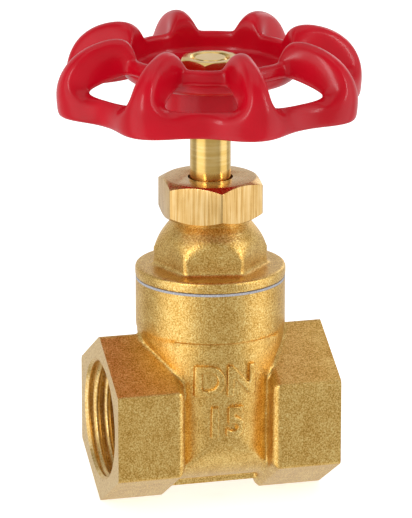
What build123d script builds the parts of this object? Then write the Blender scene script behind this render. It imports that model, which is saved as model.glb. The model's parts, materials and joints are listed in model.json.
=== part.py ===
from build123d import *
from math import cos, radians, tan
import os

# Small screwed-bonnet brass gate valve with a non-rising stem, shown fully open.
# Pipe axis along X, stem axis along Z. Heights below are measured from the pipe axis,
# which lies axis_z above the bottom ridges of the two hexagonal pipe ends.

# ---------------------------------------------------------------- body
hex_flats = 25.0
half_length = 19.2
axis_z = hex_flats / 2 / cos(radians(30))
hex_inner_end = 7.5
hex_inner_bevel = 0.9
barrel_half_width = 7.6
barrel_radius = 11.2
shoulder_low = 9.3
shoulder_high = 14.1
shoulder_radius = 12.3
neck_radius = 12.5
neck_low = 15.3
neck_high = 23.4
rib_bottom = -12.4
rib_half_width = 1.8
edge_tolerance = 0.01

# ------------------------------------------- pipe ports (G 1/2 parallel thread)
port_radius = 9.316
port_depth = 10.2
port_mouth_chamfer = 0.9
waterway_radius = 6.5

# --------------------------------------------------- wedge chamber and seats
chamber_half_width = 6.9
chamber_radius = 9.4
chamber_corner_radius = 9.9
seat_radius = 8.6
seat_half_gap = 5.05
wedge_half_thickness = 5.0
wedge_taper = 4.0
guide_half_width = 0.8
guide_reach = 7.9
guide_low = -5.0
guide_high = 14.5
guide_root = chamber_radius + 0.4
cutter_margin = 1.0

# -------------------------------------------------------- neck and bonnet
bonnet_thread_radius = 11.0
neck_thread_low = 17.2
gasket_thickness = 0.38
flange_radius = 12.57
flange_thickness = 1.96
skirt_bottom = 18.4
skirt_bore = 9.6
skirt_ceiling = 24.2
bonnet_hex_flats = 16.8
bonnet_hex_turn = -12.1
bonnet_hex_round = 1.0
dome_start = 28.9
dome_middle = 31.4
dome_end = 33.3
dome_start_radius = 9.55
dome_middle_radius = 8.1
dome_end_radius = 6.4
hex_corner_drop = 1.2
hex_outside_radius = 11.0
gland_neck_radius = 6.2
gland_neck_top = 38.4
lock_ring_bore = 6.4
collar_bore = 5.8
bonnet_stem_bore = 3.5
box_radius = 5.2
box_floor = 33.4
key_slot_width = 1.4
key_slot_depth = 1.3
key_slot_height = 0.8

# ------------------------------------------------------------------- stem
stem_radius = 3.4
stem_thread_radius = 3.5
stem_bottom = 9.0
collar_radius = 5.5
collar_low = 30.45
collar_high = 31.75
washer_high = 32.2
lock_ring_low = 28.5
lock_ring_high = 30.4
square_flats = 6.0
square_low = 51.9
stem_tip_radius = 3.0
stem_top = 61.0
stem_tip_chamfer = 0.5
stem_thread_chamfer = 0.6

# ------------------------------------------------------------ stem packing
packing_ring_height = 1.15
packing_ring_count = 3
gland_top = 39.3
nut_flats = 15.8
nut_turn = 27.1
nut_low = 33.9
nut_high = 40.66
nut_hole = 3.75
nut_outside_radius = 9.4
nut_low_chamfer_radius = 7.4
nut_low_chamfer_height = 1.3
nut_high_chamfer_radius = 7.6
nut_high_chamfer_height = 1.0

# ------------------------------------------------------------------ wedge
travel = 15.0
wedge_radius = 8.3
wedge_neck_radius = 5.0
wedge_neck_top = 13.0
wedge_bore_bottom = -6.5
wedge_bore = 3.55
ear_reach = 8.9
ear_half_width = 2.6
ear_low = -3.0
ear_high = 5.0
slot_half_width = 1.1
slot_reach = 7.6
slot_cut_length = 4.0

# -------------------------------------------------------------- handwheel
lobe_count = 8
lobe_turn = 2.9
wheel_radius = 26.2
valley_radius = 23.1
rim_bottom = 52.7
window_sill = 57.2
valley_inner_width = 8.2
valley_flare = 16.0
saddle_height = 62.0
crown_height = 65.0
crown_dish_edge = 62.4
crown_peak_radius = 17.2
slope_radius = 22.6
slope_height = 63.3
slope_normal = (0.5, 0.8)
shoulder_edge_radius = 25.2
shoulder_edge_height = 60.8
shoulder_normal = (0.9, 0.4)
rim_top = 57.0
scallop_radius = 19.7
saddle_groove_radius = 5.4
saddle_groove_length = 8.0
valley_cut_margin = 6.0
sheet = 1.4
dish_radius = 13.5
dish_floor = 58.6
dish_bottom = 57.3
hub_radius = 7.9
hub_bottom = 51.9
wheel_nut_flats = 9.1
wheel_nut_turn = 4.9
wheel_nut_high = 61.05
wheel_nut_outside_radius = 6.0
wheel_nut_chamfer_radius = 4.6
wheel_nut_chamfer_height = 0.9
wheel_nut_countersink = 0.4
fit_gap = 0.05


def level(height):
    """Horizontal plane at a height above the pipe axis."""
    return Plane.XY.offset(axis_z + height)


def save(piece, name):
    """Label a finished piece and write it as its own STEP file."""
    piece.part.label = name
    export_step(piece.part, f"parts/{name}.step")


os.makedirs("parts", exist_ok=True)

# ---------------------------------------------------------------------------
# Body: hot-forged brass, two hexagonal female ends either side of a round-bottomed
# barrel that widens at its shoulders into the round threaded neck.
# ---------------------------------------------------------------------------
with BuildPart() as barrel:
    with BuildSketch(Plane.XZ):
        with BuildLine():
            Polyline(
                (-barrel_half_width, axis_z - barrel_radius),
                (barrel_half_width, axis_z - barrel_radius),
                (barrel_half_width, axis_z + shoulder_low),
                (shoulder_radius, axis_z + shoulder_high),
                (shoulder_radius, axis_z + neck_low),
                (-shoulder_radius, axis_z + neck_low),
                (-shoulder_radius, axis_z + shoulder_high),
                (-barrel_half_width, axis_z + shoulder_low),
                close=True,
            )
        make_face()
    extrude(amount=shoulder_radius, both=True)
    # Slight cone from the waist up to the neck
    with BuildSketch(Plane.XZ):
        with BuildLine():
            Polyline(
                (0, axis_z - barrel_radius),
                (barrel_radius, axis_z - barrel_radius),
                (barrel_radius, axis_z),
                (shoulder_radius, axis_z + shoulder_high),
                (shoulder_radius, axis_z + neck_low),
                (0, axis_z + neck_low),
                close=True,
            )
        make_face()
    revolve(axis=Axis.Z, mode=Mode.INTERSECT)
    # Round bottom, about the pipe axis
    with BuildSketch(Plane.YZ):
        with Locations((0, axis_z)):
            Circle(barrel_radius)
            Rectangle(2 * shoulder_radius, neck_low, align=(Align.CENTER, Align.MIN))
    extrude(amount=shoulder_radius, both=True, mode=Mode.INTERSECT)

with BuildPart() as chamber:
    with BuildSketch(Plane.YZ):
        with Locations((0, axis_z)):
            Circle(chamber_radius)
            Rectangle(2 * chamber_radius, neck_low, align=(Align.CENTER, Align.MIN))
    extrude(amount=chamber_half_width, both=True)
    with BuildSketch(Plane.XY):
        Circle(chamber_corner_radius)
    extrude(amount=axis_z + neck_low, mode=Mode.INTERSECT)

with BuildPart() as seats:
    with BuildSketch(Plane.YZ):
        with Locations((0, axis_z)):
            Circle(seat_radius)
    extrude(amount=chamber_half_width, both=True)
    # Both seats are faced to the taper of the wedge
    with BuildSketch(Plane.XZ):
        with BuildLine():
            reach = seat_radius + cutter_margin
            spread = reach * tan(radians(wedge_taper))
            Polyline(
                (seat_half_gap - spread, axis_z - reach),
                (seat_half_gap + spread, axis_z + reach),
                (-seat_half_gap - spread, axis_z + reach),
                (-seat_half_gap + spread, axis_z - reach),
                close=True,
            )
        make_face()
    extrude(amount=reach, both=True, mode=Mode.SUBTRACT)

with BuildPart() as body:
    for side in (-1, 1):
        with BuildSketch(Plane.YZ.offset(side * hex_inner_end)):
            with Locations((0, axis_z)):
                RegularPolygon(hex_flats / 2, 6, major_radius=False, rotation=90)
        extrude(amount=side * (half_length - hex_inner_end))
    inner_rims = body.edges().filter_by(
        lambda edge: abs(abs(edge.center().X) - hex_inner_end) < edge_tolerance
    )
    chamfer(inner_rims, hex_inner_bevel)
    add(barrel.part)
    with BuildSketch(Plane.XZ):
        with Locations((0, axis_z + rib_bottom)):
            Rectangle(2 * barrel_half_width, -rib_bottom, align=(Align.CENTER, Align.MIN))
    extrude(amount=rib_half_width, both=True)
    with BuildSketch(level(neck_low)):
        Circle(neck_radius)
    extrude(amount=neck_high - neck_low)

    # Wedge chamber under the threaded neck
    add(chamber.part, mode=Mode.SUBTRACT)
    with BuildSketch(level(neck_low)):
        Circle(chamber_corner_radius)
    extrude(amount=neck_high - neck_low, mode=Mode.SUBTRACT)
    with BuildSketch(level(neck_high)):
        Circle(bonnet_thread_radius)
    extrude(amount=neck_thread_low - neck_high, mode=Mode.SUBTRACT)

    # Seat rings and the guide ribs that run in the side slots of the wedge
    add(seats.part)
    for side in (-1, 1):
        with BuildSketch(level(guide_low)):
            with Locations((0, side * (guide_reach + guide_root) / 2)):
                Rectangle(2 * guide_half_width, guide_root - guide_reach)
        extrude(amount=guide_high - guide_low)

    # Waterway and the two threaded ports
    with BuildSketch(Plane.YZ):
        with Locations((0, axis_z)):
            Circle(waterway_radius)
    extrude(amount=half_length, both=True, mode=Mode.SUBTRACT)
    for side in (-1, 1):
        with BuildSketch(Plane.YZ.offset(side * half_length)):
            with Locations((0, axis_z)):
                Circle(port_radius)
        extrude(amount=-side * port_depth, mode=Mode.SUBTRACT)
    mouths = (
        body.edges()
        .filter_by(GeomType.CIRCLE)
        .filter_by(lambda edge: abs(abs(edge.center().X) - half_length) < edge_tolerance)
    )
    chamfer(mouths, port_mouth_chamfer)
save(body, "body")

# ---------------------------------------------------------------------------
# Bonnet gasket: thin fibre ring clamped between neck and bonnet flange
# ---------------------------------------------------------------------------
with BuildPart() as bonnet_gasket:
    with BuildSketch(level(neck_high)):
        Circle(neck_radius)
        Circle(bonnet_thread_radius, mode=Mode.SUBTRACT)
    extrude(amount=gasket_thickness)
save(bonnet_gasket, "bonnet_gasket")

# ---------------------------------------------------------------------------
# Bonnet: forged brass cap screwed into the neck; flange, hexagon, rounded
# shoulder and the externally threaded stuffing-box neck
# ---------------------------------------------------------------------------
flange_low = neck_high + gasket_thickness
flange_high = flange_low + flange_thickness

with BuildPart() as bonnet_head:
    with BuildSketch(level(flange_high)):
        RegularPolygon(bonnet_hex_flats / 2, 6, major_radius=False, rotation=bonnet_hex_turn)
        fillet(vertices(), bonnet_hex_round)
    extrude(amount=dome_end - flange_high)
    with BuildSketch(Plane.XZ):
        with BuildLine():
            Polyline(
                (dome_end_radius, axis_z + dome_end),
                (0, axis_z + dome_end),
                (0, axis_z + flange_high),
                (hex_outside_radius, axis_z + flange_high),
                (hex_outside_radius, axis_z + dome_start - hex_corner_drop),
                (dome_start_radius, axis_z + dome_start),
            )
            Spline(
                (dome_start_radius, axis_z + dome_start),
                (dome_middle_radius, axis_z + dome_middle),
                (dome_end_radius, axis_z + dome_end),
            )
        make_face()
    revolve(axis=Axis.Z, mode=Mode.INTERSECT)

with BuildPart() as bonnet:
    with BuildSketch(level(skirt_bottom)):
        Circle(bonnet_thread_radius)
    extrude(amount=flange_low - skirt_bottom)
    with BuildSketch(level(flange_low)):
        Circle(flange_radius)
    extrude(amount=flange_thickness)
    add(bonnet_head.part)
    with BuildSketch(level(dome_end)):
        Circle(gland_neck_radius)
    extrude(amount=gland_neck_top - dome_end)

    # Stepped bore: wedge room, lock-ring thread, collar seat, stem hole, packing box
    bore_steps = (
        (skirt_bottom, skirt_ceiling, skirt_bore),
        (skirt_ceiling, lock_ring_high, lock_ring_bore),
        (lock_ring_high, washer_high, collar_bore),
        (washer_high, box_floor, bonnet_stem_bore),
        (box_floor, gland_neck_top, box_radius),
    )
    for low, high, radius in bore_steps:
        with BuildSketch(level(low)):
            Circle(radius)
        extrude(amount=high - low, mode=Mode.SUBTRACT)
save(bonnet, "bonnet")

# ---------------------------------------------------------------------------
# Stem: turned brass. Left-hand thread below, collar, plain shaft, square for
# the wheel and a threaded tip for the wheel nut
# ---------------------------------------------------------------------------
with BuildPart() as stem:
    stem_steps = (
        (stem_bottom, collar_low, stem_thread_radius),
        (collar_low, collar_high, collar_radius),
        (collar_high, square_low, stem_radius),
    )
    for low, high, radius in stem_steps:
        with BuildSketch(level(low)):
            Circle(radius)
        extrude(amount=high - low)
    with BuildSketch(level(square_low)):
        Circle(stem_radius)
        Rectangle(square_flats, square_flats, mode=Mode.INTERSECT)
    extrude(amount=dish_floor - square_low)
    with BuildSketch(level(dish_floor)):
        Circle(stem_tip_radius)
    extrude(amount=stem_top - dish_floor)
    chamfer(stem.edges().group_by(Axis.Z)[-1], stem_tip_chamfer)
    chamfer(stem.edges().group_by(Axis.Z)[0], stem_thread_chamfer)
save(stem, "stem")

# ---------------------------------------------------------------------------
# Stem lock ring and thrust washer, which hold the stem's collar in the bonnet
# ---------------------------------------------------------------------------
with BuildPart() as stem_lock_ring:
    with BuildSketch(level(lock_ring_low)):
        Circle(lock_ring_bore)
        Circle(stem_thread_radius + 2 * fit_gap, mode=Mode.SUBTRACT)
    extrude(amount=lock_ring_high - lock_ring_low)
    # Two key slots for the assembly wrench
    with BuildSketch(level(lock_ring_low)):
        Rectangle(2 * lock_ring_bore + cutter_margin, key_slot_width)
        Circle(lock_ring_bore - key_slot_depth, mode=Mode.SUBTRACT)
    extrude(amount=key_slot_height, mode=Mode.SUBTRACT)
save(stem_lock_ring, "stem_lock_ring")

with BuildPart() as thrust_washer:
    with BuildSketch(level(collar_high + fit_gap)):
        Circle(collar_radius)
        Circle(bonnet_stem_bore, mode=Mode.SUBTRACT)
    extrude(amount=washer_high - collar_high - fit_gap)
save(thrust_washer, "thrust_washer")

# ---------------------------------------------------------------------------
# Packing rings, gland and packing nut round the stem
# ---------------------------------------------------------------------------
for index in range(packing_ring_count):
    with BuildPart() as packing_ring:
        with BuildSketch(level(box_floor + index * packing_ring_height)):
            Circle(box_radius)
            Circle(stem_radius + fit_gap, mode=Mode.SUBTRACT)
        extrude(amount=packing_ring_height)
    save(packing_ring, f"packing_ring_{index + 1}")

gland_low = box_floor + packing_ring_count * packing_ring_height

with BuildPart() as gland:
    with BuildSketch(level(gland_low)):
        Circle(box_radius - fit_gap)
        Circle(stem_radius + 2 * fit_gap, mode=Mode.SUBTRACT)
    extrude(amount=gland_top - gland_low)
save(gland, "gland")

with BuildPart() as packing_nut:
    with BuildSketch(level(nut_low)):
        RegularPolygon(nut_flats / 2, 6, major_radius=False, rotation=nut_turn)
    extrude(amount=nut_high - nut_low)
    with BuildSketch(Plane.XZ):
        with BuildLine():
            Polyline(
                (0, axis_z + nut_low),
                (nut_low_chamfer_radius, axis_z + nut_low),
                (nut_outside_radius, axis_z + nut_low + nut_low_chamfer_height),
                (nut_outside_radius, axis_z + nut_high - nut_high_chamfer_height),
                (nut_high_chamfer_radius, axis_z + nut_high),
                (0, axis_z + nut_high),
                close=True,
            )
        make_face()
    revolve(axis=Axis.Z, mode=Mode.INTERSECT)
    with BuildSketch(level(nut_low)):
        Circle(gland_neck_radius)
    extrude(amount=gland_top - nut_low, mode=Mode.SUBTRACT)
    with BuildSketch(level(gland_top)):
        Circle(nut_hole)
    extrude(amount=nut_high - gland_top, mode=Mode.SUBTRACT)
save(packing_nut, "packing_nut")

# ---------------------------------------------------------------------------
# Wedge: the tapered brass gate, drawn up clear of the waterway
# ---------------------------------------------------------------------------
gate_z = axis_z + travel

with BuildPart() as wedge:
    with BuildSketch(Plane.YZ):
        with Locations((0, gate_z)):
            Circle(wedge_radius)
    extrude(amount=wedge_half_thickness + cutter_margin, both=True)
    with BuildSketch(Plane.XZ):
        with BuildLine():
            reach = wedge_radius + cutter_margin
            spread = reach * tan(radians(wedge_taper))
            Polyline(
                (wedge_half_thickness - spread, gate_z - reach),
                (wedge_half_thickness + spread, gate_z + reach),
                (-wedge_half_thickness - spread, gate_z + reach),
                (-wedge_half_thickness + spread, gate_z - reach),
                close=True,
            )
        make_face()
    extrude(amount=reach, both=True, mode=Mode.INTERSECT)
    with BuildSketch(level(travel)):
        Circle(wedge_neck_radius)
    extrude(amount=wedge_neck_top)
    with BuildSketch(level(travel + ear_low)):
        Rectangle(2 * ear_half_width, 2 * ear_reach)
    extrude(amount=ear_high - ear_low)
    with BuildSketch(level(travel - wedge_radius)):
        for side in (-1, 1):
            with Locations((0, side * (slot_reach + slot_cut_length / 2))):
                Rectangle(2 * slot_half_width, slot_cut_length)
    extrude(amount=2 * wedge_radius, mode=Mode.SUBTRACT)
    with BuildSketch(level(travel + wedge_bore_bottom)):
        Circle(wedge_bore)
    extrude(amount=wedge_neck_top - wedge_bore_bottom, mode=Mode.SUBTRACT)
save(wedge, "wedge")

# ---------------------------------------------------------------------------
# Handwheel: pressed sheet wheel with a central dish, eight hollow lobes and a
# window in each valley between them; open underneath, with a square-holed hub
# ---------------------------------------------------------------------------
scallop_centre = valley_radius + scallop_radius
valley_turn = lobe_turn + 180 / lobe_count
valley_length = wheel_radius + valley_cut_margin
half_inner = valley_inner_width / 2
half_outer = half_inner + (valley_length - dish_radius - sheet) * tan(radians(valley_flare))


def crown_solid(inset):
    """Revolved crown of the wheel, pulled in by a wall thickness."""
    with BuildPart() as crown:
        with BuildSketch(Plane.XZ):
            with BuildLine():
                Polyline(
                    (wheel_radius - inset, axis_z + rim_top),
                    (wheel_radius - inset, axis_z + rim_bottom),
                    (dish_radius + inset, axis_z + rim_bottom),
                    (dish_radius + inset, axis_z + crown_dish_edge),
                )
                Spline(
                    (dish_radius + inset, axis_z + crown_dish_edge),
                    (crown_peak_radius, axis_z + crown_height - inset),
                    (slope_radius - slope_normal[0] * inset,
                     axis_z + slope_height - slope_normal[1] * inset),
                    (shoulder_edge_radius - shoulder_normal[0] * inset,
                     axis_z + shoulder_edge_height - shoulder_normal[1] * inset),
                    (wheel_radius - inset, axis_z + rim_top),
                    tangents=((0, 1), (0, -1)),
                )
            make_face()
        revolve(axis=Axis.Z)
        # Finger valleys: flared slots above the rim band, and scallops all the way down
        with BuildSketch(level(window_sill)):
            with PolarLocations(0, lobe_count, start_angle=valley_turn):
                Polygon(
                    (dish_radius + sheet - inset, half_inner + inset),
                    (dish_radius + sheet - inset, -half_inner - inset),
                    (valley_length, -half_outer - inset),
                    (valley_length, half_outer + inset),
                    align=None,
                )
        extrude(amount=crown_height, mode=Mode.SUBTRACT)
        with BuildSketch(level(rim_bottom)):
            with PolarLocations(scallop_centre, lobe_count, start_angle=valley_turn):
                Circle(scallop_radius + inset)
        extrude(amount=crown_height, mode=Mode.SUBTRACT)
    return crown.part


outer_crown = crown_solid(0)
inner_crown = crown_solid(sheet)

with BuildPart() as handwheel:
    add(outer_crown)
    add(inner_crown, mode=Mode.SUBTRACT)
    # Saddles between the lobes, in the top edge of the dish
    with PolarLocations(0, lobe_count, start_angle=valley_turn):
        with Locations((dish_radius + cutter_margin, 0, axis_z + saddle_height + saddle_groove_radius)):
            Cylinder(
                saddle_groove_radius,
                saddle_groove_length,
                rotation=(0, 90, 0),
                mode=Mode.SUBTRACT,
            )
    # Dish floor and wall below the windows
    with BuildSketch(level(dish_bottom)):
        Circle(dish_radius + sheet)
    extrude(amount=dish_floor - dish_bottom)
    with BuildSketch(level(rim_bottom)):
        Circle(dish_radius + sheet + edge_tolerance)
    extrude(amount=dish_bottom - rim_bottom, mode=Mode.SUBTRACT)
    # Hub on the square of the stem
    with BuildSketch(level(hub_bottom)):
        Circle(hub_radius)
    extrude(amount=dish_floor - hub_bottom)
    with BuildSketch(level(hub_bottom)):
        Circle(stem_radius + fit_gap)
        Rectangle(square_flats + fit_gap, square_flats + fit_gap, mode=Mode.INTERSECT)
    extrude(amount=dish_floor - hub_bottom, mode=Mode.SUBTRACT)
save(handwheel, "handwheel")

# ---------------------------------------------------------------------------
# Handwheel nut: small countersunk brass hexagon on the stem's tip
# ---------------------------------------------------------------------------
with BuildPart() as handwheel_nut:
    with BuildSketch(level(dish_floor)):
        RegularPolygon(wheel_nut_flats / 2, 6, major_radius=False, rotation=wheel_nut_turn)
    extrude(amount=wheel_nut_high - dish_floor)
    with BuildSketch(Plane.XZ):
        with BuildLine():
            Polyline(
                (0, axis_z + dish_floor),
                (wheel_nut_outside_radius, axis_z + dish_floor),
                (wheel_nut_outside_radius, axis_z + wheel_nut_high - wheel_nut_chamfer_height),
                (wheel_nut_chamfer_radius, axis_z + wheel_nut_high),
                (0, axis_z + wheel_nut_high),
                close=True,
            )
        make_face()
    revolve(axis=Axis.Z, mode=Mode.INTERSECT)
    with BuildSketch(level(dish_floor)):
        Circle(stem_tip_radius)
    extrude(amount=wheel_nut_high - dish_floor, mode=Mode.SUBTRACT)
    bore_edges = handwheel_nut.edges().filter_by(GeomType.CIRCLE).group_by(Axis.Z)[-1]
    chamfer(bore_edges.sort_by(SortBy.RADIUS)[0], wheel_nut_countersink)
save(handwheel_nut, "handwheel_nut")
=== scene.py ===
import json
from math import atan2, cos, hypot, pi, radians, sin, sqrt

import bmesh
import bpy
from mathutils import Matrix, Vector


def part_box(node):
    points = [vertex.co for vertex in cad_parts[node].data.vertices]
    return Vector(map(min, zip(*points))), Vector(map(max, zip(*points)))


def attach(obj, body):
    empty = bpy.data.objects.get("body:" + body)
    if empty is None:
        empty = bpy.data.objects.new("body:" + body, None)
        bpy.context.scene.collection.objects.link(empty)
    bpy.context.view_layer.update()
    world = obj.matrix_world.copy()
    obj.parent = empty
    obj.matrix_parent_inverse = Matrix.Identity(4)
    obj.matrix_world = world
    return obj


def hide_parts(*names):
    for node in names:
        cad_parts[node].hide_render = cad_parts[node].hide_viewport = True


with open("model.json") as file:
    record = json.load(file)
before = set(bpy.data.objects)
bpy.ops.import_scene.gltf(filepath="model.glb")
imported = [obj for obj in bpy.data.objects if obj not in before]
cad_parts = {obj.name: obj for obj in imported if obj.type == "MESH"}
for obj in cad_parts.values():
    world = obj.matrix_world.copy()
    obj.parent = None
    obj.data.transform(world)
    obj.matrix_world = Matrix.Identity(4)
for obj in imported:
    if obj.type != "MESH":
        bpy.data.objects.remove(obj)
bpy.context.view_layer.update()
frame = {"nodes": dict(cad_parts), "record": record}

MM = 0.001
record = frame["record"]
pipe_height = next(m for m in record["mounts"] if m["name"] == "inlet_port")["pos_m"][2]


# --- Studio -------------------------------------------------------------------
# A pale table in a plain, bright room with four soft lights. None of it is part of
# the valve: the room is what the brass and the enamel reflect.


def level(height):
    """Height in metres of a level given in millimetres above the pipe axis."""
    return pipe_height + height * MM


def node_material(name):
    """An empty node material with its shader, and a function that adds a node with its settings."""
    mat = bpy.data.materials.new(name)
    mat.use_nodes = True
    tree = mat.node_tree
    shader = tree.nodes["Principled BSDF"]

    def add(kind, settings=None, **inputs):
        node = tree.nodes.new(kind)
        for key, value in (settings or {}).items():
            setattr(node, key, value)
        for key, value in inputs.items():
            node.inputs[key.replace("_", " ")].default_value = value
        return node

    return mat, tree.links.new, shader, add


def ramp_colours(ramp, *stops):
    """Sets a colour ramp's stops, each a position and an RGB colour."""
    elements = ramp.color_ramp.elements
    while len(elements) < len(stops):
        elements.new(0.5)
    for element, (position, colour) in zip(elements, stops):
        element.position = position
        element.color = (*colour, 1)


floor_reach = 3.0
floor_mesh = bmesh.new()
bmesh.ops.create_grid(floor_mesh, x_segments=8, y_segments=8, size=floor_reach)
table_mesh = bpy.data.meshes.new("floor")
floor_mesh.to_mesh(table_mesh)
floor_mesh.free()
floor = bpy.data.objects.new("floor", table_mesh)
bpy.context.scene.collection.objects.link(floor)
floor_mat, link, shader, add = node_material("pale_table")
shader.inputs["Base Color"].default_value = (0.93, 0.93, 0.93, 1)
shader.inputs["Roughness"].default_value = 0.9
shader.inputs["Emission Color"].default_value = (1, 1, 1, 1)
shader.inputs["Emission Strength"].default_value = 0.62
table_mesh.materials.append(floor_mat)
# The table catches shadows, and the room's own light reaches the valve from below too
floor.visible_glossy = False
floor.visible_diffuse = False
floor.visible_shadow = False

# The room is brightest at a panel on each side, a little paler in front and behind than
# the plain wall between them, and dimmer overhead
world = bpy.data.worlds.new("studio")
bpy.context.scene.world = world
world.use_nodes = True
room = world.node_tree
background = room.nodes["Background"]
background.inputs["Color"].default_value = (1, 1, 1, 1)
direction = room.nodes.new("ShaderNodeTexCoord")


def room_value(kind, operation, *values):
    """A maths node of the room, fed with numbers or with other nodes' outputs."""
    node = room.nodes.new(kind)
    node.operation = operation
    for socket, value in zip(node.inputs, values):
        if isinstance(value, bpy.types.NodeSocket):
            room.links.new(value, socket)
        else:
            socket.default_value = value
    return node.outputs[0]


flattened = room_value("ShaderNodeVectorMath", "MULTIPLY",
                       direction.outputs["Generated"], (1, 1, 0))
level_direction = room_value("ShaderNodeVectorMath", "NORMALIZE", flattened)


def panel(towards, inner, outer, strength):
    """Light from a tall soft panel: full within the inner angle and gone at the outer one."""
    node = room.nodes.new("ShaderNodeVectorMath")
    node.operation = "DOT_PRODUCT"
    room.links.new(level_direction, node.inputs[0])
    node.inputs[1].default_value = (cos(radians(towards)), sin(radians(towards)), 0)
    soft = room.nodes.new("ShaderNodeMapRange")
    soft.interpolation_type = "SMOOTHSTEP"
    soft.inputs["From Min"].default_value = cos(radians(outer))
    soft.inputs["From Max"].default_value = cos(radians(inner))
    soft.inputs["To Max"].default_value = strength
    room.links.new(node.outputs["Value"], soft.inputs["Value"])
    return soft.outputs["Result"]


# Each panel's bearing, its inner and outer angles in degrees, and its strength
panels = (
    (198, 12, 36, 0.95),
    (338, 10, 32, 0.80),
    (262, 12, 50, 0.12),
    (78, 30, 75, 0.34),
)
plain_wall = 0.44
dimming_starts = 0.25
dimming_ends = 0.85
overhead_share = 0.42
total = plain_wall
for towards, inner, outer, strength in panels:
    total = room_value("ShaderNodeMath", "ADD", total, panel(towards, inner, outer, strength))
height_above = room.nodes.new("ShaderNodeSeparateXYZ")
room.links.new(direction.outputs["Generated"], height_above.inputs[0])
dimmer = room.nodes.new("ShaderNodeMapRange")
dimmer.inputs["From Min"].default_value = dimming_starts
dimmer.inputs["From Max"].default_value = dimming_ends
dimmer.inputs["To Min"].default_value = 1.0
dimmer.inputs["To Max"].default_value = overhead_share
room.links.new(height_above.outputs["Z"], dimmer.inputs["Value"])
room.links.new(room_value("ShaderNodeMath", "MULTIPLY", total, dimmer.outputs["Result"]),
               background.inputs["Strength"])

valve_middle = Vector((0, 0, level(25)))


def softbox(name, place, width, height, watts):
    """A rectangular soft light that faces the valve."""
    lamp = bpy.data.lights.new(name, "AREA")
    lamp.shape = "RECTANGLE"
    lamp.size = width
    lamp.size_y = height
    lamp.energy = watts
    obj = bpy.data.objects.new(name, lamp)
    obj.location = place
    obj.rotation_euler = (valve_middle - Vector(place)).to_track_quat("-Z", "Y").to_euler()
    bpy.context.scene.collection.objects.link(obj)


softbox("key_left", (-0.62, -0.55, 0.42), width=0.13, height=0.50, watts=1.5)
softbox("fill_right", (0.55, -0.48, 0.34), width=0.09, height=0.45, watts=0.9)
softbox("overhead", (0.05, 0.10, 0.80), width=0.80, height=0.70, watts=0.9)
softbox("back_right", (0.50, 0.55, 0.35), width=0.30, height=0.45, watts=0.4)

camera = bpy.data.cameras.new("camera")
camera.sensor_fit = "HORIZONTAL"
camera.sensor_width = 36.0
camera.lens = 393.0
camera.clip_start = 0.01
camera_object = bpy.data.objects.new("camera", camera)
camera_object.location = (-0.19334, -0.69446, 0.24885)
looking = Vector((0.256757, 0.925836, -0.277315))
camera_object.rotation_euler = looking.to_track_quat("-Z", "Y").to_euler()
bpy.context.scene.collection.objects.link(camera_object)
bpy.context.scene.camera = camera_object
bpy.context.scene.view_settings.view_transform = "Standard"


# --- Body ---------------------------------------------------------------------
# Hot-forged brass, shot blasted, with softened edges from the dies. The two end
# faces, the pipe ports, the wedge chamber and the seats are machined afterwards.

skin_grain = 0.34
end_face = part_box("body")[1].x
neck_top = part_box("body")[1].z
# Tolerances, in metres
same_point = 1e-6
on_plane = 1e-5
on_surface = 2e-5


def copy_of(node):
    """A merged bmesh copy of a CAD node."""
    bm = bmesh.new()
    bm.from_mesh(frame["nodes"][node].data)
    bmesh.ops.remove_doubles(bm, verts=bm.verts, dist=same_point)
    return bm


def islands(bm):
    """The connected pieces of a bmesh, each a set of its faces."""
    left = set(bm.faces)
    found = []
    while left:
        waiting = [left.pop()]
        piece = set(waiting)
        while waiting:
            face = waiting.pop()
            for e in face.edges:
                for other in e.link_faces:
                    if other in left:
                        left.remove(other)
                        piece.add(other)
                        waiting.append(other)
        found.append(piece)
    return found


def scratch_object(bm, name):
    """A temporary object from a bmesh, for a modifier to work on."""
    mesh = bpy.data.meshes.new(name)
    bm.to_mesh(mesh)
    bm.free()
    obj = bpy.data.objects.new(name, mesh)
    bpy.context.scene.collection.objects.link(obj)
    return obj


def settle(obj):
    """Applies an object's modifiers, and gives its mesh back as a bmesh."""
    bpy.context.view_layer.update()
    graph = bpy.context.evaluated_depsgraph_get()
    bm = bmesh.new()
    bm.from_object(obj, graph)
    mesh = obj.data
    bpy.data.objects.remove(obj)
    bpy.data.meshes.remove(mesh)
    return bm


def blasted_skin(bm, voxel, smoothing):
    """Remeshes a closed solid and softens its edges, as forging and blasting leave them."""
    obj = scratch_object(bm, "forging")
    remesh = obj.modifiers.new("remesh", "REMESH")
    remesh.mode = "VOXEL"
    remesh.voxel_size = voxel * MM
    soften = obj.modifiers.new("soften", "SMOOTH")
    soften.factor = 0.5
    soften.iterations = smoothing
    return settle(obj)


def cut(bm, cutter):
    """Takes one bmesh away from another, by a Boolean modifier."""
    obj = scratch_object(bm, "stock")
    tool = scratch_object(cutter, "tool")
    boolean = obj.modifiers.new("cut", "BOOLEAN")
    boolean.operation = "DIFFERENCE"
    boolean.solver = "EXACT"
    boolean.object = tool
    result = settle(obj)
    mesh = tool.data
    bpy.data.objects.remove(tool)
    bpy.data.meshes.remove(mesh)
    return result


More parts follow.
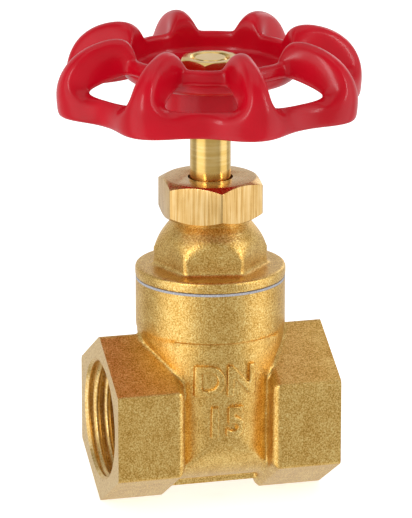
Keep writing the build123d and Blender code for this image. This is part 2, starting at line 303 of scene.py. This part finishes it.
def brass(name, base, dark, bright, roughness, grain, depth, lay=(1, 1, 1)):
    """Brass whose colour and gloss follow a fine grain; lay stretches the grain into tool lines."""
    mat, link, shader, add = node_material(name)
    place = add("ShaderNodeTexCoord")
    cloud = add("ShaderNodeTexNoise", Scale=420.0, Detail=4.0, Roughness=0.6)
    tooling = add("ShaderNodeMapping", Scale=lay)
    fine = add("ShaderNodeTexNoise", Scale=grain, Detail=2.0, Roughness=0.55)
    tint = add("ShaderNodeValToRGB")
    ramp_colours(tint, (0.36, dark), (0.50, base), (0.64, bright))
    mixed = add("ShaderNodeMix", {"data_type": "FLOAT"})
    mixed.inputs["Factor"].default_value = 0.78
    polish = add("ShaderNodeMapRange")
    polish.inputs["To Min"].default_value = roughness - 0.09
    polish.inputs["To Max"].default_value = roughness + 0.12
    bump = add("ShaderNodeBump", Strength=1.0, Distance=depth * MM)
    shader.inputs["Metallic"].default_value = 1.0
    link(place.outputs["Object"], cloud.inputs["Vector"])
    link(place.outputs["Object"], tooling.inputs["Vector"])
    link(tooling.outputs["Vector"], fine.inputs["Vector"])
    link(cloud.outputs["Fac"], mixed.inputs[2])
    link(fine.outputs["Fac"], mixed.inputs[3])
    link(mixed.outputs[0], tint.inputs["Fac"])
    link(tint.outputs["Color"], shader.inputs["Base Color"])
    link(fine.outputs["Fac"], polish.inputs["Value"])
    link(polish.outputs["Result"], shader.inputs["Roughness"])
    link(fine.outputs["Fac"], bump.inputs["Height"])
    link(bump.outputs["Normal"], shader.inputs["Normal"])
    return mat


forged_brass = brass("forged_brass", base=(0.80, 0.49, 0.13), dark=(0.52, 0.27, 0.05),
                     bright=(1.0, 0.76, 0.30), roughness=0.33, grain=4300.0, depth=0.055)
faced_brass = brass("faced_brass", base=(0.80, 0.54, 0.20), dark=(0.66, 0.41, 0.12),
                    bright=(0.92, 0.70, 0.34), roughness=0.30, grain=2600.0, depth=0.010)


def piece_from(bm, name, mats, body, slot, *nodes, sharp=35):
    """Makes a bmesh a finished piece: shaded, given its materials, riding on its body."""
    for face in bm.faces:
        face.smooth = True
    for edge in bm.edges:
        if len(edge.link_faces) == 2 and edge.calc_face_angle(0) > radians(sharp):
            edge.smooth = False
    mesh = bpy.data.meshes.new(name)
    bm.to_mesh(mesh)
    bm.free()
    for mat in mats:
        mesh.materials.append(mat)
    obj = bpy.data.objects.new(name, mesh)
    bpy.context.scene.collection.objects.link(obj)
    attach(obj, body)
    if nodes:
        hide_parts(*nodes)
    return obj


# The machined annuli at the ends and the neck top part the outer skin from the bores
whole = copy_of("body")
flat_ends = [
    f for f in whole.faces
    if all(abs(abs(v.co.x) - end_face) < on_plane for v in f.verts)
    or all(abs(v.co.z - neck_top) < on_plane for v in f.verts)
]
bmesh.ops.delete(whole, geom=flat_ends, context="FACES")
outer_faces = max(
    islands(whole),
    key=lambda piece: max(abs(f.calc_center_median().y) for f in piece),
)
bores = whole.copy()
whole.faces.ensure_lookup_table()
bores.faces.ensure_lookup_table()
outer_numbers = {f.index for f in outer_faces}
forged_side = [f for f in bores.faces if f.index in outer_numbers]
bored_side = [f for f in whole.faces if f not in outer_faces]
bmesh.ops.delete(bores, geom=forged_side, context="FACES")
bmesh.ops.delete(whole, geom=bored_side, context="FACES")


def close_ends(bm, reach):
    """Extends a shell's open ends past the machined planes and caps them."""
    rim = [e for e in bm.edges if e.is_boundary]
    grown = bmesh.ops.extrude_edge_only(bm, edges=rim)
    for v in (g for g in grown["geom"] if isinstance(g, bmesh.types.BMVert)):
        if abs(abs(v.co.x) - end_face) < on_plane:
            v.co.x += reach * MM * (1 if v.co.x > 0 else -1)
        else:
            v.co.z += reach * MM
    bmesh.ops.holes_fill(bm, edges=[e for e in bm.edges if e.is_boundary])
    bmesh.ops.recalc_face_normals(bm, faces=bm.faces)


close_ends(whole, reach=1.5)
close_ends(bores, reach=2.5)
forging = blasted_skin(whole, skin_grain, smoothing=5)

# The neck overhangs the barrel slightly, where the halves of the forging die met
crease_height = 15.0
crease_depth = 0.42
crease_lip = 0.3
crease_edge = 0.35
crease_length = 4.5
crease_inner_radius = 11.0
crease_half_width = 9.5
crease_run_out = 1.5
for v in forging.verts:
    below = crease_height - (v.co.z - pipe_height) / MM
    around = hypot(v.co.x, v.co.y)
    in_band = -crease_lip < below < crease_length and around > crease_inner_radius * MM
    if in_band and abs(v.co.x) < crease_half_width * MM:
        fade = max(0.0, min(1.0, (below + crease_lip) / crease_edge))
        fade *= (1 - max(0.0, below) / crease_length) ** 2
        fade *= min(1.0, (crease_half_width - abs(v.co.x) / MM) / crease_run_out)
        scale = 1 - crease_depth * MM * fade / around
        v.co.x *= scale
        v.co.y *= scale


def trim(bm, point, normal):
    """Takes away all of a bmesh that lies beyond a plane."""
    bmesh.ops.bisect_plane(bm, geom=bm.verts[:] + bm.edges[:] + bm.faces[:],
                           plane_co=point, plane_no=normal, clear_outer=True)


trim(forging, (-end_face, 0, 0), (-1, 0, 0))
trim(forging, (end_face, 0, 0), (1, 0, 0))
trim(forging, (0, 0, neck_top), (0, 0, 1))
bmesh.ops.holes_fill(forging, edges=[e for e in forging.edges if e.is_boundary])

# The port walls are opened to the root of the pipe thread, whose ridge is a piece of its own
port_crest = record["mounts"][0]["dims"]["r_mm"]
port_root = 10.2
port_floor = 8.9
for v in bores.verts:
    across = hypot(v.co.y, v.co.z - pipe_height)
    if abs(across - port_crest * MM) < on_surface and abs(v.co.x) > port_floor * MM:
        scale = port_root * MM / across
        v.co.y *= scale
        v.co.z = pipe_height + (v.co.z - pipe_height) * scale
forging = cut(forging, bores)

# Machined surfaces are the end faces, the neck's top and all that faces into a bore
port_reach = 10.3
neck_reach = 11.05
outward_lean = 0.3
for face in forging.faces:
    middle = face.calc_center_median()
    across = hypot(middle.y, middle.z - pipe_height)
    faced = abs(abs(middle.x) - end_face) < on_surface or abs(middle.z - neck_top) < on_surface
    lean = middle.y * face.normal.y + (middle.z - pipe_height) * face.normal.z
    ported = across < port_reach * MM and lean <= outward_lean * across
    necked = middle.z > pipe_height and hypot(middle.x, middle.y) < neck_reach * MM
    inwards = middle.x * face.normal.x + middle.y * face.normal.y < 0
    bored = ported or (necked and inwards)
    face.material_index = 1 if faced or bored else 0
piece_from(forging, "body_forging", (forged_brass, faced_brass), "housing", "forged_brass",
           "body")


# --- Pipe threads ---------------------------------------------------------------
# A parallel pipe thread tapped in each port: 55-degree ridges with rounded crests,
# 14 to the inch, running from just inside the mouth to the bottom of the port.

thread_pitch = 1.814
thread_turns = 4.9
steps_per_turn = 72
ridge_half_width = 0.82
crest_half_width = 0.30
root_sunk = 0.12
crest_round = 0.16
first_turn = 1.05


def helix(points, centre, axis, lead, turns, steps_in_turn):
    """Sweeps a closed outline along a helix; lead is the travel in a turn, as a vector."""
    ridge = bmesh.new()
    corners = [ridge.verts.new(point) for point in points]
    section = [ridge.edges.new((a, b)) for a, b in zip(corners, corners[1:] + corners[:1])]
    bmesh.ops.spin(ridge, geom=corners + section, cent=centre, axis=axis,
                   dvec=[travel / steps_in_turn for travel in lead],
                   angle=2 * pi * turns, steps=int(turns * steps_in_turn))
    bmesh.ops.holes_fill(ridge, edges=[e for e in ridge.edges if e.is_boundary])
    bmesh.ops.recalc_face_normals(ridge, faces=ridge.faces)
    return ridge


for side, name in ((-1, "inlet_thread"), (1, "outlet_thread")):
    outline = (
        (-ridge_half_width, port_root + root_sunk), (-crest_half_width, port_crest + crest_round),
        (0.0, port_crest),
        (crest_half_width, port_crest + crest_round), (ridge_half_width, port_root + root_sunk),
    )
    start = side * (end_face - first_turn * MM)
    ridge = helix(
        [(start + u * MM, -r * MM, pipe_height) for u, r in outline],
        centre=(0, 0, pipe_height), axis=(-side, 0, 0),
        lead=(-side * thread_pitch * MM, 0, 0), turns=thread_turns, steps_in_turn=steps_per_turn)
    piece_from(ridge, name, (faced_brass,), "housing", "forged_brass", sharp=60)


# --- Marks on the body ------------------------------------------------------------
# Raised lettering left by the forging die on the front of the barrel. It gives only the
# nominal pipe size, in the plain form that any such fitting may carry.

# Each line's words, the level of its middle, and how tall it is
mark_lines = (("DN", 8.4, 5.9), ("15", 1.1, 5.9))
mark_height = 0.68
mark_sunk = 0.5
mark_aside = -0.6
mark_grain = 0.13
size_per_capital = 1.22
stroke_growth = 0.26
barrel_low_radius = 11.2
barrel_top_radius = 12.3
barrel_top = 14.1

lettering = bmesh.new()
for words, middle_height, tall in mark_lines:
    curve = bpy.data.curves.new("mark", "FONT")
    curve.body = words
    curve.align_x = "CENTER"
    curve.align_y = "CENTER"
    curve.size = tall * size_per_capital * MM
    curve.offset = stroke_growth * MM
    curve.extrude = 0.5 * (mark_height + mark_sunk) * MM
    text = bpy.data.objects.new("mark", curve)
    bpy.context.scene.collection.objects.link(text)
    bpy.context.view_layer.update()
    graph = bpy.context.evaluated_depsgraph_get()
    flat = bpy.data.meshes.new_from_object(text.evaluated_get(graph))
    bpy.data.objects.remove(text)
    place = Matrix.Translation((mark_aside * MM, 0, level(middle_height)))
    flat.transform(place @ Matrix.Rotation(pi / 2, 4, "X"))
    lettering.from_mesh(flat)
    bpy.data.meshes.remove(flat)
bmesh.ops.remove_doubles(lettering, verts=lettering.verts, dist=same_point)
lettering = blasted_skin(lettering, mark_grain, smoothing=7)
for v in lettering.verts:
    rise = max(0.0, (v.co.z - pipe_height) / (barrel_top * MM))
    radius = (barrel_low_radius + (barrel_top_radius - barrel_low_radius) * rise) * MM
    outward = -v.co.y + 0.5 * (mark_height - mark_sunk) * MM
    v.co.y = -(sqrt(radius ** 2 - v.co.x ** 2) + outward)
piece_from(lettering, "body_marks", (forged_brass,), "housing", "forged_brass", sharp=80)


# --- Bonnet gasket ----------------------------------------------------------------
# A thin pressed-fibre ring, clamped between the neck of the body and the flange of
# the bonnet. Its pale edge shows as a line round the joint.

gasket_low, gasket_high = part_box("bonnet_gasket")
spin_seam = 1e-7


def pressed(name, *stops, roughness, grain, detail, relief):
    """A pressed, soft material, whose colour and relief follow one fine grain."""
    mat, link, shader, add = node_material(name)
    place = add("ShaderNodeTexCoord")
    flecks = add("ShaderNodeTexNoise", Scale=grain, Detail=detail)
    shade = add("ShaderNodeValToRGB")
    ramp_colours(shade, *stops)
    raised = add("ShaderNodeBump", Strength=relief, Distance=0.02 * MM)
    shader.inputs["Roughness"].default_value = roughness
    link(place.outputs["Object"], flecks.inputs["Vector"])
    link(flecks.outputs["Fac"], shade.inputs["Fac"])
    link(shade.outputs["Color"], shader.inputs["Base Color"])
    link(flecks.outputs["Fac"], raised.inputs["Height"])
    link(raised.outputs["Normal"], shader.inputs["Normal"])
    return mat


fibre = pressed("gasket_fibre", (0.35, (0.40, 0.40, 0.43)), (0.70, (0.66, 0.66, 0.70)),
                roughness=0.75, grain=5200.0, detail=3.0, relief=0.5)


def turned(profile, steps):
    """Spins a closed outline of (radius, height) points in metres about the stem axis."""
    bm = bmesh.new()
    ring = [bm.verts.new((r, 0, z)) for r, z in profile]
    edges = [bm.edges.new((a, b)) for a, b in zip(ring, ring[1:] + ring[:1])]
    bmesh.ops.spin(bm, geom=ring + edges, cent=(0, 0, 0), axis=(0, 0, 1), angle=2 * pi,
                   steps=steps, use_merge=True)
    bmesh.ops.remove_doubles(bm, verts=bm.verts, dist=spin_seam)
    bmesh.ops.recalc_face_normals(bm, faces=bm.faces)
    return bm


outer = gasket_high.x
inner = 11.0 * MM
bulge = 0.04 * MM
ring_outline = (
    (inner, gasket_low.z), (outer - bulge, gasket_low.z), (outer, gasket_low.z + 2 * bulge),
    (outer, gasket_high.z - 2 * bulge), (outer - bulge, gasket_high.z), (inner, gasket_high.z),
)
piece_from(turned(ring_outline, steps=128), "gasket_ring", (fibre,), "housing", "gasket_fibre",
           "bonnet_gasket")


# --- Bonnet -------------------------------------------------------------------------
# Forged brass cap, screwed into the neck by its flange hexagon. Its shoulder rounds
# into the threaded stuffing box; the flange is turned after forging.

bonnet_grain = 0.26
bonnet_skin = blasted_skin(copy_of("bonnet"), bonnet_grain, smoothing=16)
# The die rounds the shoulder off level all round, so the hexagon's faces end without arcs
shoulder_low = 28.7
shoulder_high = 32.3
shoulder_inner_radius = 6.6
shoulder_passes = 45
shoulder = [
    v for v in bonnet_skin.verts
    if level(shoulder_low) < v.co.z < level(shoulder_high)
    and hypot(v.co.x, v.co.y) > shoulder_inner_radius * MM
]
for _ in range(shoulder_passes):
    bmesh.ops.smooth_vert(bonnet_skin, verts=shoulder, factor=0.5,
                          use_axis_x=True, use_axis_y=True, use_axis_z=True)
piece_from(bonnet_skin, "bonnet_forging", (forged_brass,), "housing", "forged_brass", "bonnet")


# --- Packing nut, gland and packing ---------------------------------------------------
# A large hexagon nut turned from bar, its flats milled; it presses the gland on three
# packing rings round the stem. Its edges are only broken, so they catch the light.

machined_brass = brass("machined_brass", base=(0.72, 0.46, 0.17), dark=(0.56, 0.33, 0.10),
                       bright=(0.84, 0.60, 0.28), roughness=0.27, grain=2600.0, depth=0.012,
                       lay=(1, 1, 0.04))


def broken_edges(bm, width, angle=25):
    """Joins a CAD copy's flat faces and takes a small chamfer off its sharp edges."""
    bmesh.ops.dissolve_limit(bm, angle_limit=radians(1.0), verts=bm.verts, edges=bm.edges)
    folded = [e for e in bm.edges if len(e.link_faces) == 2]
    corners = [e for e in folded if e.calc_face_angle(0) > radians(angle)]
    bmesh.ops.bevel(bm, geom=corners, affect="EDGES", offset=width * MM, segments=2, profile=0.5,
                    material=-1, clamp_overlap=True)
    return bm


piece_from(broken_edges(copy_of("packing_nut"), width=0.10), "packing_nut_turned",
           (machined_brass,), "housing", "machined_brass", "packing_nut")


def dress(mat, *names):
    """Gives a material to CAD nodes that are shown as they are."""
    for name in names:
        frame["nodes"][name].data.materials.clear()
        frame["nodes"][name].data.materials.append(mat)


dress(machined_brass, "gland", "stem_lock_ring", "wedge")
packing_mat = pressed("packing_ptfe", (0.35, (0.74, 0.73, 0.70)), (0.65, (0.90, 0.90, 0.88)),
                      roughness=0.55, grain=3000.0, detail=4.0, relief=0.4)
dress(packing_mat, "packing_ring_1", "packing_ring_2", "packing_ring_3", "thrust_washer")


# --- Stem -------------------------------------------------------------------------------
# Turned brass spindle: left-hand thread at the bottom, a collar that the lock ring
# holds, a bright shaft, a square for the wheel and a tip for its nut.

shaft = 3.4
square_half = 3.0
square_corner = 3.1
square_low = 51.95
square_high = 58.65
polished_brass = brass("polished_brass", base=(0.82, 0.55, 0.18), dark=(0.76, 0.49, 0.14),
                       bright=(0.88, 0.62, 0.24), roughness=0.17, grain=1500.0, depth=0.003,
                       lay=(0.1, 0.1, 1))
stem_outline = [
    (0.0, 9.0), (2.4, 9.0), (2.9, 9.5), (2.9, 29.9), (3.5, 30.1), (3.5, 30.45), (5.3, 30.45),
    (5.5, 30.65), (5.5, 31.55), (5.3, 31.75), (shaft, 31.75), (shaft, 40.0), (shaft, 51.6),
    (shaft, 51.9), (shaft, 52.0), (shaft, 55.0), (shaft, 58.6), (3.0, 58.6), (3.0, 60.5),
    (2.5, 61.0), (0.0, 61.0),
]
spindle = bmesh.new()
line = [spindle.verts.new((r * MM, 0, level(h))) for r, h in stem_outline]
path = [spindle.edges.new((a, b)) for a, b in zip(line, line[1:])]
bmesh.ops.spin(spindle, geom=line + path, cent=(0, 0, 0), axis=(0, 0, 1), angle=2 * pi,
               steps=96, use_merge=True)
bmesh.ops.remove_doubles(spindle, verts=spindle.verts, dist=spin_seam)


def square_off(verts, half):
    """Presses round surfaces in to a square, whose half width is in millimetres."""
    for v in verts:
        v.co.x = max(-half * MM, min(half * MM, v.co.x))
        v.co.y = max(-half * MM, min(half * MM, v.co.y))


on_square = [
    v for v in spindle.verts
    if level(square_low) < v.co.z < level(square_high)
    and hypot(v.co.x, v.co.y) > square_corner * MM
]
square_off(on_square, square_half)
bmesh.ops.recalc_face_normals(spindle, faces=spindle.faces)
piece_from(spindle, "spindle_turned", (polished_brass,), "spindle", "machined_brass", "stem")

stem_lead = 2.0
stem_turns = 10.0
stem_steps = 48
first_ridge = 9.7
outline = ((2.8, -0.62), (3.42, -0.34), (3.42, 0.34), (2.8, 0.62))
ridge = helix(
    [(r * MM, 0, level(first_ridge) + u * MM) for r, u in outline],
    centre=(0, 0, 0), axis=(0, 0, -1),
    lead=(0, 0, stem_lead * MM), turns=stem_turns, steps_in_turn=stem_steps)
piece_from(ridge, "spindle_thread", (polished_brass,), "spindle", "machined_brass", sharp=30)


# --- Handwheel ---------------------------------------------------------------------------
# A thin-walled wheel in thick red enamel: a dish, eight hollow lobes and a window
# in each valley between them. It is open underneath, with a hub on the stem's square.

lobes = 8
lobe_turn = radians(2.9)
wall = 1.25
# Each row is the lobe's (radius, height) and then the valley's, from the dish outwards
rows = (
    ((3.7, 58.6), (3.7, 58.6)),
    ((8.6, 58.6), (8.6, 58.6)),
    ((12.3, 58.6), (12.3, 58.6)),
    ((13.25, 58.75), (13.25, 58.75)),
    ((13.5, 59.6), (13.5, 59.6)),
    ((13.5, 62.2), (13.5, 61.0)),
    ((13.6, 64.0), (13.62, 61.9)),
    ((14.5, 65.0), (14.15, 62.15)),
    ((15.9, 65.35), (14.9, 61.95)),
    ((17.4, 65.3), (15.25, 61.2)),
    ((19.2, 64.9), (15.3, 59.6)),
    ((21.0, 64.25), (17.0, 59.1)),
    ((22.9, 63.2), (18.9, 58.6)),
    ((24.8, 61.5), (20.7, 58.0)),
    ((26.1, 59.0), (22.4, 57.45)),
    ((26.5, 56.6), (23.1, 56.4)),
    ((26.3, 54.6), (23.2, 54.6)),
    ((26.1, 52.7), (23.0, 52.7)),
)
# How far each row from the crest's first has gone over from the crest's columns to the ribs'
crest_start = 5
rib_share = (0.0, 0.0, 0.0, 0.12, 0.45, 0.85, 1.0, 1.0, 1.0, 1.0)
rib_rows = range(10, 15)
# Across half a sector: degrees round the plain rows, then millimetres from the middle of a
# lobe and the share of the drop to the valley, first on the crest rows and then on the ribs
columns = (
    (0.0, (0.0, 0.0), (0.0, 0.0)),
    (3.6, (1.0, 0.10), (0.9, 0.03)),
    (7.0, (1.7, 0.38), (1.5, 0.14)),
    (9.6, (2.2, 0.70), (1.85, 0.42)),
    (11.8, (2.6, 0.94), (2.05, 0.75)),
    (14.2, (3.1, 1.0), (2.2, 1.0)),
    (18.2, None, None),
    (22.5, None, None),
)
rib_spread = 0.35
rim_sharpness = 1.15
window_column = 5
steps_in_sector = 2 * (len(columns) - 1)

sheet = bmesh.new()
line = [sheet.verts.new((lobe[0] * MM, 0, level(lobe[1]))) for lobe, _ in rows]
path = [sheet.edges.new((a, b)) for a, b in zip(line, line[1:])]
bmesh.ops.spin(sheet, geom=line + path, cent=(0, 0, 0), axis=(0, 0, 1), angle=2 * pi,
               steps=lobes * steps_in_sector, use_merge=True)
bmesh.ops.remove_doubles(sheet, verts=sheet.verts, dist=spin_seam)
row_of = {}
for v in sheet.verts:
    radius = hypot(v.co.x, v.co.y) / MM
    height = (v.co.z - pipe_height) / MM
    row_of[v] = min(
        range(len(rows)),
        key=lambda j: hypot(rows[j][0][0] - radius, rows[j][0][1] - height),
    )
column_of = {}
for v in sheet.verts:
    turn = atan2(v.co.y, v.co.x) / (2 * pi / lobes)
    step = round((turn - round(turn)) * steps_in_sector)
    column_of[v] = (round(turn) * 2 * pi / lobes, step)
for v in sheet.verts:
    row = row_of[v]
    lobe_angle, step = column_of[v]
    side = -1 if step < 0 else 1
    spread, crest, rib = columns[abs(step)]
    (lobe_radius, lobe_height), (valley_radius, valley_height) = rows[row]
    across, drop = None, 1.0
    if crest_start <= row <= rib_rows[-1] and crest:
        share = rib_share[row - crest_start]
        widened = rib[0] * (1 + rib_spread * max(0, row - rib_rows[0]) / len(rib_rows))
        across = crest[0] + (widened - crest[0]) * share
        drop = crest[1] + (rib[1] - crest[1]) * share
    if row > rib_rows[-1]:
        drop = 1 - ((1 + cos(radians(lobes * spread))) / 2) ** rim_sharpness
    radius = lobe_radius + (valley_radius - lobe_radius) * drop
    height = lobe_height + (valley_height - lobe_height) * drop
    offset = radians(spread) if across is None else atan2(across, radius)
    angle = lobe_angle + side * offset + lobe_turn
    v.co = Vector((radius * cos(angle) * MM, radius * sin(angle) * MM, level(height)))
window_faces = [
    f for f in sheet.faces
    if all(abs(column_of[v][1]) >= window_column for v in f.verts)
    and all(row_of[v] in rib_rows for v in f.verts)
]
bmesh.ops.delete(sheet, geom=window_faces, context="FACES")
bmesh.ops.recalc_face_normals(sheet, faces=sheet.faces)
if sum(f.normal.z * f.calc_area() for f in sheet.faces) < 0:
    bmesh.ops.reverse_faces(sheet, faces=sheet.faces)

red_enamel, link, shader, add = node_material("red_enamel")
place = add("ShaderNodeTexCoord")
pooled = add("ShaderNodeTexNoise", Scale=110.0, Detail=2.0, Roughness=0.5)
orange_peel = add("ShaderNodeTexNoise", Scale=900.0, Detail=1.0, Roughness=0.4)
shade = add("ShaderNodeValToRGB")
ramp_colours(shade, (0.32, (0.54, 0.0, 0.009)), (0.70, (0.70, 0.001, 0.016)))
ripple = add("ShaderNodeBump", Strength=0.35, Distance=0.03 * MM)
shader.inputs["Roughness"].default_value = 0.38
shader.inputs["Specular IOR Level"].default_value = 0.06
shader.inputs["Coat Weight"].default_value = 0.55
shader.inputs["Coat Roughness"].default_value = 0.2
link(place.outputs["Object"], pooled.inputs["Vector"])
link(place.outputs["Object"], orange_peel.inputs["Vector"])
link(pooled.outputs["Fac"], shade.inputs["Fac"])
link(shade.outputs["Color"], shader.inputs["Base Color"])
link(orange_peel.outputs["Fac"], ripple.inputs["Height"])
link(ripple.outputs["Normal"], shader.inputs["Normal"])
link(ripple.outputs["Normal"], shader.inputs["Coat Normal"])

wheel = piece_from(sheet, "wheel_sheet", (red_enamel,), "spindle", "red_enamel", "handwheel",
                   sharp=180)
thicken = wheel.modifiers.new("wall", "SOLIDIFY")
thicken.thickness = wall * MM
thicken.offset = -1.0
rounding = wheel.modifiers.new("rounding", "SUBSURF")
rounding.levels = 2
rounding.render_levels = 2

hub_hole = 3.45
hub_hole_reach = 3.6
hub_square_half = 3.05
hub_outline = (
    (hub_hole, 51.9), (7.4, 51.9), (7.9, 52.4), (7.9, 56.4), (8.8, 57.5), (8.8, 58.3),
    (hub_hole, 58.3),
)
hub = turned([(r * MM, level(h)) for r, h in hub_outline], steps=64)
in_hole = [v for v in hub.verts if hypot(v.co.x, v.co.y) < hub_hole_reach * MM]
square_off(in_hole, hub_square_half)
piece_from(hub, "wheel_hub", (red_enamel,), "spindle", "red_enamel")


# --- Handwheel nut -------------------------------------------------------------------------
# A small bright brass hexagon nut, screwed on the stem's tip down to the floor of the
# dish, with a countersunk hole in which the stem's end shows.

piece_from(broken_edges(copy_of("handwheel_nut"), width=0.12), "wheel_nut_turned",
           (polished_brass,), "spindle", "machined_brass", "handwheel_nut")
